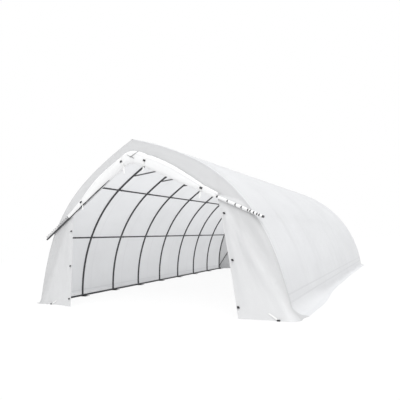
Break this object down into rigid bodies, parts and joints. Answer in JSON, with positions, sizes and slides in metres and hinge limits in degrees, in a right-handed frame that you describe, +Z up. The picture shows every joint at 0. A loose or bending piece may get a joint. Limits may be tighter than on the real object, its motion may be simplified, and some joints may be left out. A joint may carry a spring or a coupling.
{
  "type": "fabric storage shelter",
  "caption": "Hoop-framed fabric storage shelter with curved walls, a low peaked roof, a closed back and a front drive-through doorway whose fabric door is rolled up and tied.",
  "frame": {"origin": "on the ground, at the middle of the shelter's footprint", "axes": "+X to the right seen from the front, +Y from the front doorway to the back wall, +Z up"},
  "size_m": [6.496, 9.856, 3.4985],
  "materials": {
    "hoop_steel": "satin powder coat",
    "fitting_steel": "satin powder coat",
    "cover_fabric": "woven polyethylene, slightly translucent",
    "end_fabric": "woven polyethylene, slightly translucent",
    "door_fabric": "woven polyethylene",
    "webbing": "woven strap",
    "black_plastic": "moulded",
    "ratchet_steel": "zinc with a dark coat"
  },
  "bodies": {
    "root": {"front_hoop": "hoop_steel", "hoop_2": "hoop_steel", "hoop_3": "hoop_steel", "hoop_4": "hoop_steel", "hoop_5": "hoop_steel", "hoop_6": "hoop_steel", "hoop_7": "hoop_steel", "hoop_8": "hoop_steel", "back_hoop": "hoop_steel", "collar_ties": "hoop_steel", "base_rails": "hoop_steel", "base_plates": "fitting_steel", "mid_purlins": "hoop_steel", "upper_purlins": "hoop_steel", "ridge_purlin": "hoop_steel", "purlin_saddles": "fitting_steel", "front_posts": "hoop_steel", "back_posts": "hoop_steel", "front_braces": "hoop_steel", "back_braces": "hoop_steel", "door_rods": "hoop_steel", "cover_low_left": "cover_fabric", "cover_low_right": "cover_fabric", "cover_high_left": "cover_fabric", "cover_high_right": "cover_fabric", "cover_roof_left": "cover_fabric", "cover_roof_right": "cover_fabric", "front_gable_left": "end_fabric", "front_gable_right": "end_fabric", "front_panel_left": "end_fabric", "front_panel_right": "end_fabric", "back_wall": "end_fabric", "door_roll_left": "door_fabric", "door_roll_right": "door_fabric", "side_skirts": "end_fabric", "front_skirts": "end_fabric", "back_skirt": "end_fabric", "roll_straps": "webbing", "roll_buckles": "black_plastic", "panel_toggles": "black_plastic", "corner_ratchets": "ratchet_steel"}
  },
  "joints": []
}
